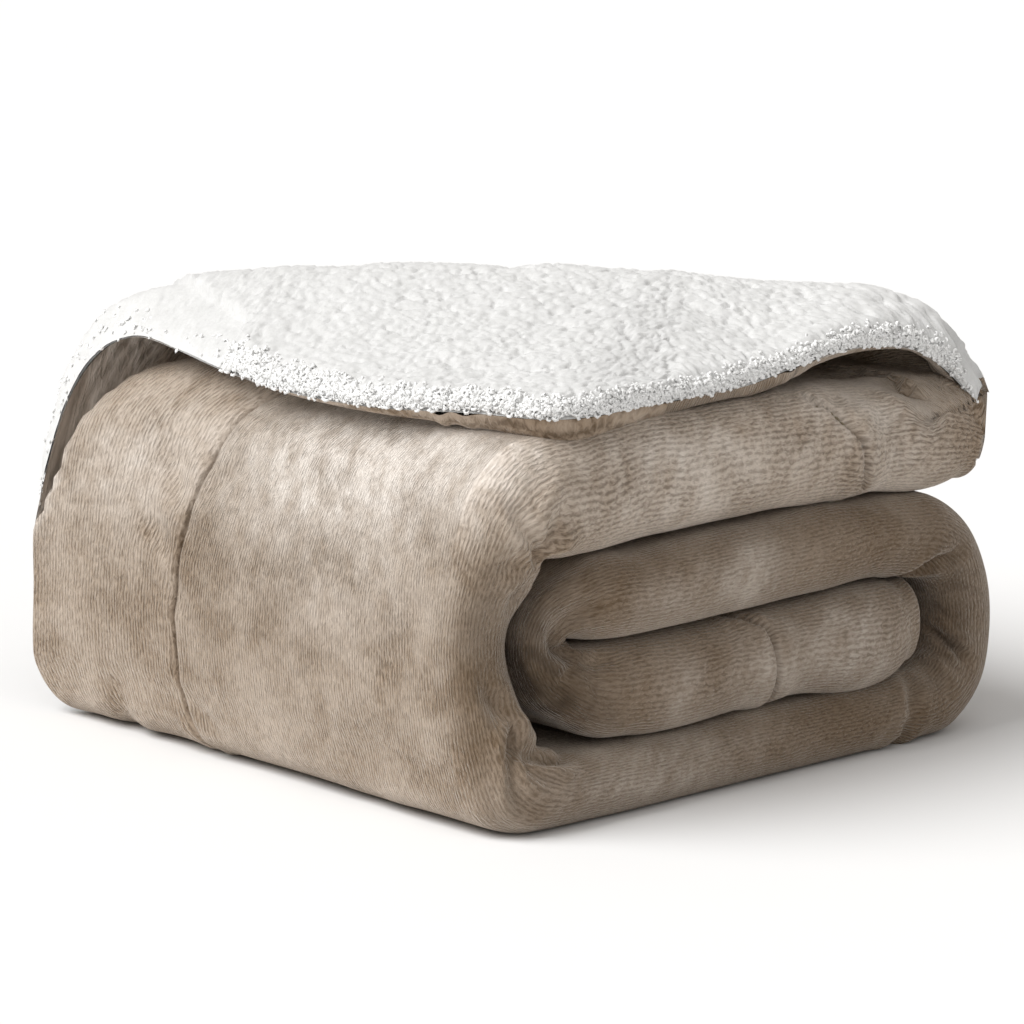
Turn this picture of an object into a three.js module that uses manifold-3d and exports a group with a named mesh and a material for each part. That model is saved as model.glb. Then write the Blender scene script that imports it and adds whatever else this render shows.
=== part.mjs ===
// Sherpa throw blanket, folded to a quarter of its width, rolled up flat, with one corner turned down.
// X runs along the roll, Y from the front panel to the back, Z up. All sizes are in millimetres.
// The throw is two cloths sewn together round their edge: a plush face and a curly sherpa backing.
import * as THREE from "three";
import Module from "manifold-3d";

// Cloth thicknesses, and the air between the two cloths and between folded layers.
const plushThick = 2.6;
const sherpaThick = 4.2;
const clothGap = 0.4;
const layerGap = 0.8;

// How far the left hems and the inner fold stand from the roll's left end.
const leftEnd = -181;
const innerHemInset = 6;
const noseInset = 3;

// The roll is thinner towards its left end, where the hems lie: its height there, as a share of the
// full height.
const taper = [
  { x: leftEnd, height: 0.7 },
  { x: -150, height: 0.9 },
  { x: -105, height: 1 },
];

// How far the roll's lower left edge draws in, and over what height and width that fades out.
const lowerEdge = { drawnIn: 30, height: 45, width: 120 };

// The rolled strip, from its free inner end to the top of the roll. Each row is one cut across it:
// the inner face (towards the middle of the roll) and the outer face, in Y and Z, where the folded
// edge ends at the right, and how many facets run to the next row.
const strip = [
  { innerY: 126, innerZ: 79, outerY: 126, outerZ: 46, right: 170, facets: 1 },
  { innerY: 111, innerZ: 83.5, outerY: 114, outerZ: 39, right: 179, facets: 1 },
  { innerY: 23, innerZ: 85, outerY: 23, outerZ: 37.5, right: 182, facets: 1 },
  { innerY: -68, innerZ: 84, outerY: -71, outerZ: 35.5, right: 180, facets: 1 },
  { innerY: -97, innerZ: 84.4, outerY: -106, outerZ: 43, right: 174, facets: 1 },
  { innerY: -99.6, innerZ: 85.2, outerY: -126, outerZ: 60, right: 164, facets: 1 },
  { innerY: -100, innerZ: 86, outerY: -133, outerZ: 85, right: 158, facets: 1 },
  { innerY: -99.6, innerZ: 86.8, outerY: -127, outerZ: 111, right: 164, facets: 1 },
  { innerY: -97, innerZ: 87.6, outerY: -105, outerZ: 124.5, right: 175, facets: 1 },
  { innerY: -68, innerZ: 87, outerY: -68, outerZ: 127.5, right: 181, facets: 1 },
  { innerY: 23, innerZ: 87.6, outerY: 23, outerZ: 130, right: 182, facets: 1 },
  { innerY: 110, innerZ: 87.5, outerY: 112, outerZ: 128, right: 181, facets: 1 },
  { innerY: 125, innerZ: 86, outerY: 138, outerZ: 124.5, right: 181, facets: 1 },
  { innerY: 135, innerZ: 80.5, outerY: 162, outerZ: 109, right: 180, facets: 1 },
  { innerY: 139, innerZ: 71, outerY: 176, outerZ: 84, right: 179, facets: 1 },
  { innerY: 140, innerZ: 59, outerY: 179.5, outerZ: 54, right: 180, facets: 1 },
  { innerY: 137, innerZ: 46, outerY: 173, outerZ: 22, right: 181, facets: 1 },
  { innerY: 126, innerZ: 37.5, outerY: 151, outerZ: 3, right: 182, facets: 1 },
  { innerY: 105, innerZ: 36, outerY: 118, outerZ: 0, right: 182, facets: 1 },
  { innerY: 0, innerZ: 35.2, outerY: 0, outerZ: 0, right: 182, facets: 1 },
  { innerY: -97, innerZ: 34, outerY: -104, outerZ: 0, right: 182, facets: 1 },
  { innerY: -122, innerZ: 36, outerY: -147, outerZ: 0, right: 181, facets: 1 },
  { innerY: -133, innerZ: 45, outerY: -165, outerZ: 8, right: 178, facets: 1 },
  { innerY: -136, innerZ: 62, outerY: -169.5, outerZ: 32, right: 168, facets: 1 },
  { innerY: -135.8, innerZ: 90, outerY: -170, outerZ: 95, right: 156, facets: 1 },
  { innerY: -134.5, innerZ: 112, outerY: -168.5, outerZ: 143, right: 168, facets: 1 },
  { innerY: -130, innerZ: 123, outerY: -163.5, outerZ: 168, right: 176, facets: 1 },
  { innerY: -118, innerZ: 128.5, outerY: -146, outerZ: 185, right: 180, facets: 1 },
  { innerY: -91, innerZ: 130, outerY: -104, outerZ: 191.5, right: 180, facets: 2 },
  { innerY: 12, innerZ: 132.5, outerY: 12, outerZ: 192, right: 180, facets: 2 },
  { innerY: 91, innerZ: 131.5, outerY: 91, outerZ: 186, right: 180, facets: 2 },
  { innerY: 162, innerZ: 130, outerY: 170, outerZ: 168, right: 176, facets: 0 },
];
const topRow = 27;

// Facets round each fold of the strip.
const facets = { outerFold: 6, nose: 3, innerFold: 2 };

// The turned-down corner. It folds back along the line from the roll's front left corner to its back
// right one: along is measured on that line, and towards runs from it to the near corner.
const foldAngle = Math.atan2(165, 179);
// Each row is one cut across the flap: the height of its crest, how far back its loose fold bulges,
// how far forward the crest and the hem lie, and the hem's height.
const flap = [
  { along: -240, crest: 142, back: 18, crestAt: -2, hemAt: 4, hem: 128 },
  { along: -231, crest: 170, back: 18, crestAt: -1, hemAt: 9, hem: 157 },
  { along: -220, crest: 192, back: 18, crestAt: 0, hemAt: 15, hem: 181 },
  { along: -206, crest: 211, back: 22, crestAt: 0, hemAt: 25, hem: 199 },
  { along: -188, crest: 221, back: 25, crestAt: 4, hemAt: 38, hem: 209 },
  { along: -161, crest: 227, back: 27, crestAt: 6, hemAt: 68, hem: 209 },
  { along: -137, crest: 230, back: 28, crestAt: 6, hemAt: 97, hem: 206 },
  { along: -103, crest: 233, back: 28, crestAt: 6, hemAt: 131, hem: 203 },
  { along: -57, crest: 235, back: 28, crestAt: 6, hemAt: 168, hem: 203 },
  { along: 0, crest: 235, back: 28, crestAt: 6, hemAt: 190, hem: 205 },
  { along: 46, crest: 235, back: 28, crestAt: 6, hemAt: 200, hem: 205 },
  { along: 91, crest: 233, back: 28, crestAt: 6, hemAt: 150, hem: 204 },
  { along: 125, crest: 230, back: 26, crestAt: 4, hemAt: 112, hem: 204 },
  { along: 160, crest: 229, back: 22, crestAt: 2, hemAt: 75, hem: 211 },
  { along: 188, crest: 226, back: 18, crestAt: 0, hemAt: 44, hem: 212 },
  { along: 211, crest: 214, back: 13, crestAt: 0, hemAt: 20, hem: 204 },
  { along: 229, crest: 194, back: 8, crestAt: 0, hemAt: 6, hem: 187 },
  { along: 239, crest: 179, back: 5, crestAt: 0, hemAt: 3, hem: 174 },
];
const flapFacets = 10;
const footLength = 14;
const cutOver = 20;

const wasm = await Module();
wasm.setup();

// A smooth value through four neighbours, at share f of the way from b to c.
function through(a, b, c, d, f) {
  return b + 0.5 * f * (c - a + f * (2 * a - 5 * b + 4 * c - d + f * (3 * (b - c) + d - a)));
}

// One row of a table between its rows i and i + 1.
function between(table, i, f) {
  const at = (k) => table[Math.min(Math.max(k, 0), table.length - 1)];
  const row = {};
  for (const key of Object.keys(table[0])) {
    row[key] = through(at(i - 1)[key], at(i)[key], at(i + 1)[key], at(i + 2)[key], f);
  }
  return row;
}

// A point of the roll after the taper, with the lower left edge drawn in.
function settle(x, y, z) {
  const i = x < taper[1].x ? 0 : 1;
  const share = Math.min((x - taper[i].x) / (taper[i + 1].x - taper[i].x), 1);
  const low = Math.max(1 - z / lowerEdge.height, 0) ** 2;
  const left = Math.max((leftEnd + lowerEdge.width - x) / lowerEdge.width, 0);
  const height = taper[i].height + (taper[i + 1].height - taper[i].height) * share;
  return new THREE.Vector3(x + lowerEdge.drawnIn * low * left, y, z * height);
}

// Every cut across the strip, with its facets between the rows.
function stripCuts(first, last) {
  const cuts = [];
  for (let i = first; i < last; i++) {
    for (let k = 0; k < strip[i].facets; k++) {
      cuts.push(between(strip, i, k / strip[i].facets));
    }
  }
  cuts.push(strip[last]);
  return cuts.map((cut) => ({ ...cut, outerZ: Math.max(cut.outerZ, 0) }));
}

// A point of a cut, x along the roll and depth v from the strip's middle towards its outer face.
function inCut(cut, x, v) {
  const reach = Math.hypot(cut.outerY - cut.innerY, cut.outerZ - cut.innerZ);
  const share = 0.5 + v / reach;
  return settle(
    x,
    cut.innerY + (cut.outerY - cut.innerY) * share,
    cut.innerZ + (cut.outerZ - cut.innerZ) * share,
  );
}

// How far from the strip's middle its outer and inner layers have their line between the two cloths.
function layerPlaces(cut) {
  const half = Math.hypot(cut.outerY - cut.innerY, cut.outerZ - cut.innerZ) / 2;
  const spare = half - 2 * (plushThick + clothGap + sherpaThick) - layerGap;
  const outer = half - plushThick - clothGap / 2;
  const inner = 0.5 * layerGap + 0.4 * spare + plushThick + clothGap / 2;
  return { half, outer, inner };
}

// The line where plush meets sherpa, once round the folded strip: the outer layer, the outer fold,
// the innermost layer, the nose at the left, and the two layers between. nx and nv point to the plush.
function foldedLine(cut) {
  const { half, outer, inner } = layerPlaces(cut);
  const nose = (outer - inner) / 2;
  const foldX = cut.right - half;
  const noseX = leftEnd + noseInset + nose + plushThick;
  const line = [];
  const bends = [taper[1].x, taper[2].x];
  const run = (from, to, v, nv) => {
    const stops = from < to ? bends : [...bends].reverse();
    line.push(...[from, ...stops].map((x) => ({ x, v, nx: 0, nv })));
  };
  const turn = (x, v, radius, start, sweep, side, count) => {
    for (let i = 0; i < count; i++) {
      const angle = start + (sweep * i) / count;
      const c = Math.cos(angle);
      const s = Math.sin(angle);
      line.push({ x: x + radius * c, v: v + radius * s, nx: side * c, nv: side * s });
    }
  };
  run(leftEnd, foldX, outer, 1);
  turn(foldX, 0, outer, Math.PI / 2, -Math.PI, 1, facets.outerFold);
  run(foldX, noseX, -outer, -1);
  turn(noseX, -(outer + inner) / 2, nose, -Math.PI / 2, -Math.PI, 1, facets.nose);
  run(noseX, foldX, -inner, 1);
  turn(foldX, 0, inner, -Math.PI / 2, Math.PI, -1, facets.innerFold);
  run(foldX, leftEnd + innerHemInset, inner, -1);
  line.push({ x: leftEnd + innerHemInset, v: inner, nx: 0, nv: -1 });
  return line;
}

// A closed slab between two grids of points of the same size.
function slab(near, far) {
  const rows = near.length;
  const columns = near[0].length;
  const points = [...near.flat(), ...far.flat()];
  const at = (i, j, side) => side * rows * columns + i * columns + j;
  const triangles = [];
  const quad = (a, b, c, d) => triangles.push(a, c, b, a, d, c);
  for (let i = 0; i + 1 < rows; i++) {
    for (let j = 0; j + 1 < columns; j++) {
      quad(at(i, j, 0), at(i + 1, j, 0), at(i + 1, j + 1, 0), at(i, j + 1, 0));
      quad(at(i, j, 1), at(i, j + 1, 1), at(i + 1, j + 1, 1), at(i + 1, j, 1));
    }
  }
  for (let i = 0; i + 1 < rows; i++) {
    quad(at(i, 0, 0), at(i, 0, 1), at(i + 1, 0, 1), at(i + 1, 0, 0));
    quad(at(i, columns - 1, 0), at(i + 1, columns - 1, 0), at(i + 1, columns - 1, 1), at(i, columns - 1, 1));
  }
  for (let j = 0; j + 1 < columns; j++) {
    quad(at(0, j, 0), at(0, j + 1, 0), at(0, j + 1, 1), at(0, j, 1));
    quad(at(rows - 1, j, 0), at(rows - 1, j, 1), at(rows - 1, j + 1, 1), at(rows - 1, j + 1, 0));
  }
  return new wasm.Manifold(
    new wasm.Mesh({
      numProp: 3,
      vertProperties: new Float32Array(points.flatMap((p) => p.toArray())),
      triVerts: new Uint32Array(triangles),
    }),
  );
}

// The folded and rolled strip of one cloth, between two offsets from the line where the cloths meet.
function rolledStrip(low, high) {
  const cuts = stripCuts(0, strip.length - 1);
  const grid = (offset) =>
    cuts.map((cut) =>
      foldedLine(cut).map((p) => inCut(cut, p.x + p.nx * offset, p.v + p.nv * offset)),
    );
  return slab(grid(high), grid(low));
}

// The height of the top of the roll at x and y.
function topHeight(x, y) {
  const cuts = stripCuts(topRow - 2, strip.length - 1);
  const i = cuts.findIndex((cut, k) => k > 0 && cut.outerY >= y);
  const k = i < 0 ? cuts.length - 1 : i;
  const a = cuts[k - 1];
  const b = cuts[k];
  const f = Math.min(Math.max((y - a.outerY) / (b.outerY - a.outerY), 0), 1);
  return settle(x, y, a.outerZ + (b.outerZ - a.outerZ) * f).z;
}

// A place on the flap's own axes.
function onFlap(along, towards) {
  const c = Math.cos(foldAngle);
  const s = Math.sin(foldAngle);
  return { x: along * c + towards * s, y: along * s - towards * c };
}

// One cut of the flap where plush meets sherpa: a foot in the top layer, the loose fold, the crest
// and the hem.
function flapLine(row) {
  const foot = onFlap(row.along, footLength - row.back);
  const ground = topHeight(foot.x, foot.y) - plushThick - clothGap / 2;
  const crest = row.crest - sherpaThick;
  const hem = row.hem - sherpaThick;
  const rise = crest - ground;
  const marks = [
    [footLength - row.back, ground],
    [footLength / 2 - row.back, ground + 0.03 * rise],
    [-row.back, ground + 0.4 * rise],
    [0.6 * (row.crestAt - row.back), ground + 0.85 * rise],
    [row.crestAt, crest],
    [0.6 * row.crestAt + 0.4 * row.hemAt, crest - 0.32 * (crest - hem)],
    [row.hemAt, hem],
  ];
  const curve = new THREE.CatmullRomCurve3(
    marks.map(([towards, z]) => {
      const place = onFlap(row.along, towards);
      return new THREE.Vector3(place.x, place.y, z);
    }),
    false,
    "centripetal",
  );
  return curve.getPoints(flapFacets);
}

// The flap of one cloth, between two offsets from where the cloths meet.
function turnedCorner(low, high) {
  const lines = flap.map(flapLine);
  const last = lines.length - 1;
  const normal = (i, j) => {
    const alongWay = lines[Math.min(i + 1, last)][j].clone().sub(lines[Math.max(i - 1, 0)][j]);
    const across = lines[i][Math.min(j + 1, flapFacets)].clone().sub(lines[i][Math.max(j - 1, 0)]);
    return alongWay.cross(across).normalize();
  };
  const grid = (offset) =>
    lines.map((line, i) => line.map((p, j) => p.clone().addScaledVector(normal(i, j), offset)));
  return slab(grid(low), grid(high));
}

// What the turned-down corner takes away from the top layer: all of it behind the flap's foot.
function liftedLayer() {
  const cuts = stripCuts(topRow, strip.length - 1);
  const end = cuts.at(-1);
  cuts.push({ ...end, innerY: end.innerY + cutOver, outerY: end.outerY + cutOver });
  const grid = (place) =>
    cuts.map((cut) => {
      const { half, outer, inner } = layerPlaces(cut);
      const right = Math.min(cut.outerY / Math.tan(foldAngle) - 2 * footLength, cut.right - half - 4);
      const left = leftEnd - cutOver;
      return [left, leftEnd, taper[1].x, taper[2].x, right].map((x) =>
        inCut(cut, Math.min(x, right), place({ half, outer, inner })),
      );
    });
  return slab(
    grid(({ half }) => half + cutOver),
    grid(({ outer, inner }) => (outer + inner) / 2),
  );
}

function wholeCloth(low, high) {
  return rolledStrip(low, high).subtract(liftedLayer()).add(turnedCorner(low, high));
}

// The largest body of a solid, without the crumbs that a cut leaves beside it.
function mainBody(solid) {
  return solid.decompose().reduce((a, b) => (b.volume() > a.volume() ? b : a));
}

function asMesh(name, solid, colour, roughness) {
  const { vertProperties, triVerts } = solid.getMesh();
  const geometry = new THREE.BufferGeometry();
  geometry.setAttribute("position", new THREE.BufferAttribute(vertProperties, 3));
  geometry.setIndex(new THREE.BufferAttribute(triVerts, 1));
  geometry.computeVertexNormals();
  const material = new THREE.MeshStandardMaterial({ color: colour, roughness, metalness: 0 });
  const mesh = new THREE.Mesh(geometry, material);
  mesh.name = name;
  return mesh;
}

const plush = mainBody(wholeCloth(clothGap / 2, clothGap / 2 + plushThick));
const plushRoom = wholeCloth(-clothGap / 4, clothGap + plushThick).add(plush);
const sherpa = mainBody(wholeCloth(-clothGap / 2 - sherpaThick, -clothGap / 2).subtract(plushRoom));

// The middle of the floor area is at the origin.
const blanket = new THREE.Group();
blanket.position.set(6, -4.8, 0);
blanket.add(asMesh("plush_face", plush, 0xa99680, 0.9));
blanket.add(asMesh("sherpa_backing", sherpa, 0xf2f1ed, 0.95));

export default blanket;
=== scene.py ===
# Sherpa throw blanket: folded to a quarter of its width, rolled up flat, with one corner turned down.
# Lengths in the settings are in millimetres; the scene itself is in metres.
import bpy
import math
import numpy as np
from mathutils import Matrix, Vector


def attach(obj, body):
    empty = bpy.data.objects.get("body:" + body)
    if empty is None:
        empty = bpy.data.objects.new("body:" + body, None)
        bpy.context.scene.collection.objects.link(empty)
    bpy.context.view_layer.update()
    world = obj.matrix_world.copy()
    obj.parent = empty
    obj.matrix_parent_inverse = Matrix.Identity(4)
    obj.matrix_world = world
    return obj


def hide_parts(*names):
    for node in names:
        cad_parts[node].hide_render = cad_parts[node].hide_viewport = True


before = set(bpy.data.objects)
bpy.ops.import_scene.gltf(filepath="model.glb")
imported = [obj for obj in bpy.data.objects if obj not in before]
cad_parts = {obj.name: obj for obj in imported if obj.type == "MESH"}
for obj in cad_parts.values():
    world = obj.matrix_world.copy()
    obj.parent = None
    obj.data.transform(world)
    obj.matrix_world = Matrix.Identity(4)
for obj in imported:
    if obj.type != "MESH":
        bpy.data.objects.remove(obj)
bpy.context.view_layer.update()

mm = 0.001
centre = np.array([6.0, -4.8, 0.0])  # the roll's own axes start here, as in the solids

# The folded strip: x runs along the roll, and each cut across it is a row of the table below.
rollSettings = {
    "leftEnd": -181.0,
    "hemInset": 6.0,
    "noseInset": 3.0,
    "plushThick": 2.6,
    "sherpaThick": 4.2,
    "clothGap": 0.4,
    "layerGap": 0.8,
    "foldDepth": 0.86,      # how far the outer fold bulges, as a share of its half height
    "foldPower": 2.35,      # 2 is a round fold, more is squarer
    "hemRound": 3.2,
    "seamInset": 105.0,     # from the left hem to the border seam
}

# Height of the roll towards its left end, as a share of the full height.
taperColumns = ("x", "height")
taper = [
    (-181, 0.70),
    (-150, 0.90),
    (-128, 0.965),
    (-98, 1.0),
    (182, 1.0),
]
lowerEdge = {"drawnIn": 30.0, "height": 45.0, "width": 120.0}  # the roll's lower left edge

# One row is one cut across the strip, from its free inner end to the top of the roll: inner face and
# outer face, and where the folded edge ends at the right.
stripColumns = ("innerY", "innerZ", "outerY", "outerZ", "right")
strip = [
    (130, 68, 130, 57, 158),      # free end, closed by its hem
    (126, 79, 126, 46, 170),
    (111, 83.5, 114, 39, 179),
    (23, 85, 23, 37.5, 182),
    (-68, 84, -71, 35.5, 180),
    (-97, 84.4, -106, 43, 174),
    (-99.6, 85.2, -126, 60, 164),
    (-100, 86, -133, 85, 158),    # front of the inner turn
    (-99.6, 86.8, -127, 111, 164),
    (-97, 87.6, -105, 124.5, 175),
    (-68, 87, -68, 127.5, 181),
    (23, 87.6, 23, 130, 182),
    (110, 87.5, 112, 128, 181),
    (125, 86, 138, 124.5, 181),
    (135, 80.5, 162, 109, 180),
    (139, 71, 176, 84, 179),
    (140, 59, 179.5, 54, 180),    # back of the roll
    (137, 46, 173, 22, 181),
    (126, 37.5, 151, 3, 182),
    (105, 36, 118, 0, 182),
    (0, 35.2, 0, 0, 182),         # flat on the surface
    (-97, 34, -104, 0, 182),
    (-122, 36, -147, 0, 181),
    (-133, 45, -165, 8, 178),
    (-136, 62, -169.5, 32, 168),
    (-135.8, 90, -170, 95, 156),  # front panel
    (-134.5, 112, -168.5, 143, 168),
    (-130, 123, -163.5, 168, 176),
    (-118, 128.5, -146, 185, 180),
    (-91, 130, -104, 191.5, 180),
    (12, 132.5, 12, 192, 180),
    (91, 131.5, 91, 186, 180),
    (150, 131, 158, 173, 180),
    (164, 135.5, 174, 158, 174),  # top layer's end
]

# The turned-down corner. Along is measured on its fold line, towards from that line to the corner.
foldAngle = math.atan2(165, 179)
flapColumns = ("along", "crest", "back", "crestAt", "hemAt", "hem")
flap = [
    (-240, 142, 18, -2, 4, 128),
    (-231, 170, 18, -1, 9, 157),
    (-220, 192, 18, 0, 15, 181),
    (-206, 211, 22, 0, 25, 199),
    (-188, 221, 25, 4, 38, 209),
    (-161, 227, 27, 6, 68, 209),
    (-137, 230, 28, 6, 97, 206),
    (-103, 233, 28, 6, 131, 203),
    (-57, 235, 28, 6, 168, 203),
    (0, 235, 28, 6, 190, 205),
    (46, 235, 28, 6, 200, 205),
    (91, 233, 28, 6, 150, 204),
    (125, 230, 26, 4, 112, 204),
    (160, 229, 22, 2, 75, 211),
    (188, 226, 18, 0, 44, 212),
    (211, 214, 13, 0, 20, 204),
    (229, 194, 8, 0, 6, 187),
    (239, 179, 5, 0, 3, 174),
]
flapSettings = {
    "foot": 14.0,
    "shear": 0.26,          # how far the turned corner slides along the fold
    "leftTip": -241.0,
    "rightTip": 262.0,
    "tipLength": 14.0,
    "drawnTo": 172.0,       # how far back the top layer's end reaches beyond the turned corner
    "turnsAbove": -230.0,   # cloth lower down the front panel than this isn't turned
    "shapeRows": 266,
    "shapeColumns": 121,
}

# Where the border seam lies on the front panel, by height up the panel.
seamColumns = ("arc", "x")
panelSeam = [
    (-40, -42),
    (-6, -44),
    (10, -53),
    (30, -61),
    (61, -64),
    (92, -59),
    (115, -49),
    (165, -20),
    (200, 10),
    (235, 24),
    (300, -40),
    (360, -76),
]


stripRows = np.array(strip, float)
taperRows = np.array(taper, float)
flapRows = np.array(flap, float)
seamRows = np.array(panelSeam, float)


def smoothAt(rows, knots, at):
    # a smooth curve through the rows, at any places along their knots
    slopes = np.gradient(rows, knots, axis=0)
    i = np.clip(np.searchsorted(knots, at, side="right") - 1, 0, len(knots) - 2)
    gap = knots[i + 1] - knots[i]
    f = np.clip((at - knots[i]) / gap, 0, 1)
    if rows.ndim > 1:
        gap, f = gap[..., None], f[..., None]
    return (
        rows[i] * (2 * f**3 - 3 * f**2 + 1)
        + slopes[i] * gap * (f**3 - 2 * f**2 + f)
        + rows[i + 1] * (3 * f**2 - 2 * f**3)
        + slopes[i + 1] * gap * (f**3 - f**2)
    )


def ease(low, high, value):
    f = np.clip((value - low) / (high - low), 0, 1)
    return f * f * (3 - 2 * f)


def ripple(points, wave, seed, count=9):
    # smooth seeded unevenness, about -1 to 1, from crossed sine waves
    rng = np.random.default_rng(seed)
    total = np.zeros(points.shape[:-1])
    for _ in range(count):
        direction = rng.normal(size=points.shape[-1])
        direction *= rng.uniform(0.6, 1.5) / np.linalg.norm(direction)
        total += np.sin(points @ direction * (2 * math.pi / wave) + rng.uniform(0, 2 * math.pi))
    return total / math.sqrt(2 * count)


# The strip's own length runs along the middle of its layers.
middleLine = (stripRows[:, 0:2] + stripRows[:, 2:4]) / 2
stripKnots = np.concatenate([[0], np.cumsum(np.hypot(*np.diff(middleLine, axis=0).T))])
stripLength = stripKnots[-1]

# Outer face unrolled: its length from the front of the top layer, which lies at y = -168.
finePlaces = np.linspace(0, stripLength, 3000)
fineCuts = smoothAt(stripRows, stripKnots, finePlaces)
outerArc = np.concatenate([[0], np.cumsum(np.hypot(np.diff(fineCuts[:, 2]), np.diff(fineCuts[:, 3])))])
topStart = np.interp(stripKnots[28], finePlaces, outerArc)   # where the panel has turned onto the top
panelStart = np.interp(stripKnots[23], finePlaces, outerArc)  # the panel's lower edge

taperPlaces = np.linspace(-200, 200, 201)
smoothTaper = (taperPlaces, smoothAt(taperRows[:, 1], taperRows[:, 0], np.clip(taperPlaces, -181, 182)))

# The folded width, layer by layer, in the cloth's own millimetres from the left hem.
layers = {
    "top": 346,
    "outerFold": 64,
    "under": 340,
    "nose": 22,
    "third": 335,
    "innerFold": 20,
    "second": 340,
}
layerEnds = np.concatenate([[0], np.cumsum(list(layers.values()))]).astype(float)
clothWidth = layerEnds[-1]


def unrolled(s):
    # y of the outer face as if the front panel were laid out level with the top
    return -104 + np.interp(s, finePlaces, outerArc) - topStart


def layerDepths(cut):
    # half the strip's height at a cut, and how far its outer and inner layers lie from its middle
    thick = rollSettings["plushThick"] + rollSettings["clothGap"] + rollSettings["sherpaThick"]
    half = np.hypot(cut[..., 2] - cut[..., 0], cut[..., 3] - cut[..., 1]) / 2
    spare = half - 2 * thick - rollSettings["layerGap"]
    outer = np.maximum(half - rollSettings["plushThick"] - rollSettings["clothGap"] / 2, 0.5 * half)
    inner = 0.5 * rollSettings["layerGap"] + 0.4 * spare + rollSettings["plushThick"]
    return half, outer, np.maximum(inner, 0.2 * half)


def bendOf(cut, outer):
    # how deep the folded edge's bend is, and the x where it starts
    depth = rollSettings["foldDepth"] * outer
    return depth, cut[..., 4] - rollSettings["plushThick"] - depth


def seamLine(s):
    # x of the border seam, which runs straight past both ends of its table
    arc = np.interp(s, finePlaces, outerArc) - panelStart
    straight = rollSettings["leftEnd"] + rollSettings["seamInset"]
    return np.interp(arc, seamRows[:, 0], seamRows[:, 1], left=straight, right=straight)


def squareFold(angle):
    # a round fold's bend, filled out towards a square one
    power = 2 / rollSettings["foldPower"]
    c, s = np.cos(angle), np.sin(angle)
    return np.sign(c) * np.abs(c) ** power, np.sign(s) * np.abs(s) ** power


def rolled(u, s):
    # cloth place (u across the folded width, s along the roll) to a point between the two cloths,
    # the direction of the plush side there, and how far along the roll it lies if laid flat
    cut = smoothAt(stripRows, stripKnots, np.clip(s, 0, stripLength))
    cut[..., 3] = np.maximum(cut[..., 3], 0)
    half, outer, inner = layerDepths(cut)
    depth, foldX = bendOf(cut, outer)
    left = rollSettings["leftEnd"]
    seam = rollSettings["seamInset"]
    nose = (outer - inner) / 2
    noseX = left + rollSettings["noseInset"] + nose + rollSettings["plushThick"]
    seamX = seamLine(s)
    layer = np.clip(np.searchsorted(layerEnds, u, side="right") - 1, 0, 6)
    f = np.clip((u - layerEnds[layer]) / (layerEnds[layer + 1] - layerEnds[layer]), 0, 1)

    x, v, nx, nv = (np.zeros(np.shape(u)) for _ in range(4))

    def put(which, newX, newV, newNx, newNv):
        x[which], v[which], nx[which], nv[which] = newX[which], newV[which], newNx[which], newNv[which]

    one, none = np.ones(np.shape(u)), np.zeros(np.shape(u))
    topX = np.where(u < seam, left + u * (seamX - left) / seam,
                    seamX + (u - seam) * (foldX - seamX) / (layerEnds[1] - seam))
    put(layer == 0, topX, outer, none, one)
    c, d = squareFold(math.pi / 2 - math.pi * f)
    cn, dn = np.cos(math.pi / 2 - math.pi * f), np.sin(math.pi / 2 - math.pi * f)
    put(layer == 1, foldX + depth * c, outer * d, cn, dn)
    put(layer == 2, foldX + (noseX - foldX) * f, -outer, none, -one)
    angle = -math.pi / 2 - math.pi * f
    put(layer == 3, noseX + nose * np.cos(angle), -(outer + inner) / 2 + nose * np.sin(angle),
        np.cos(angle), np.sin(angle))
    put(layer == 4, noseX + (foldX - noseX) * f, -inner, none, one)
    angle = -math.pi / 2 + math.pi * f
    put(layer == 5, foldX + inner * np.cos(angle), inner * np.sin(angle), -np.cos(angle), -np.sin(angle))
    put(layer == 6, foldX + (left + rollSettings["hemInset"] - foldX) * f, inner, none, -one)

    flat = np.where(layer == 0, x, foldX + f * layers["outerFold"])
    share = 0.5 + v / (2 * half)
    y = cut[..., 0] + (cut[..., 2] - cut[..., 0]) * share
    z = cut[..., 1] + (cut[..., 3] - cut[..., 1]) * share
    low = np.maximum(1 - z / lowerEdge["height"], 0) ** 2
    z = z * np.interp(x, *smoothTaper)
    fromLeft = np.maximum((left + lowerEdge["width"] - x) / lowerEdge["width"], 0)
    x = x + lowerEdge["drawnIn"] * low * fromLeft
    alongCut = (cut[..., 2:4] - cut[..., 0:2]) / (2 * half[..., None])
    point = np.stack([x, y, z], -1)
    side = np.stack([nx, nv * alongCut[..., 0], nv * alongCut[..., 1]], -1)
    side /= np.linalg.norm(side, axis=-1, keepdims=True)
    return point, side, flat, layer


def flapAxes(x, y):
    # from x and y to the fold line's own directions, along it and towards the corner
    c, s = math.cos(foldAngle), math.sin(foldAngle)
    return x * c + y * s, x * s - y * c


def fromFlapAxes(along, towards):
    c, s = math.cos(foldAngle), math.sin(foldAngle)
    return along * c + towards * s, along * s - towards * c


def flapRowAt(along):
    inTable = np.clip(along, flapRows[0, 0], flapRows[-1, 0])
    return inTable, smoothAt(flapRows, flapRows[:, 0], inTable)


def footAt(along):
    return flapSettings["foot"] - flapRowAt(along)[1][..., 2]


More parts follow.
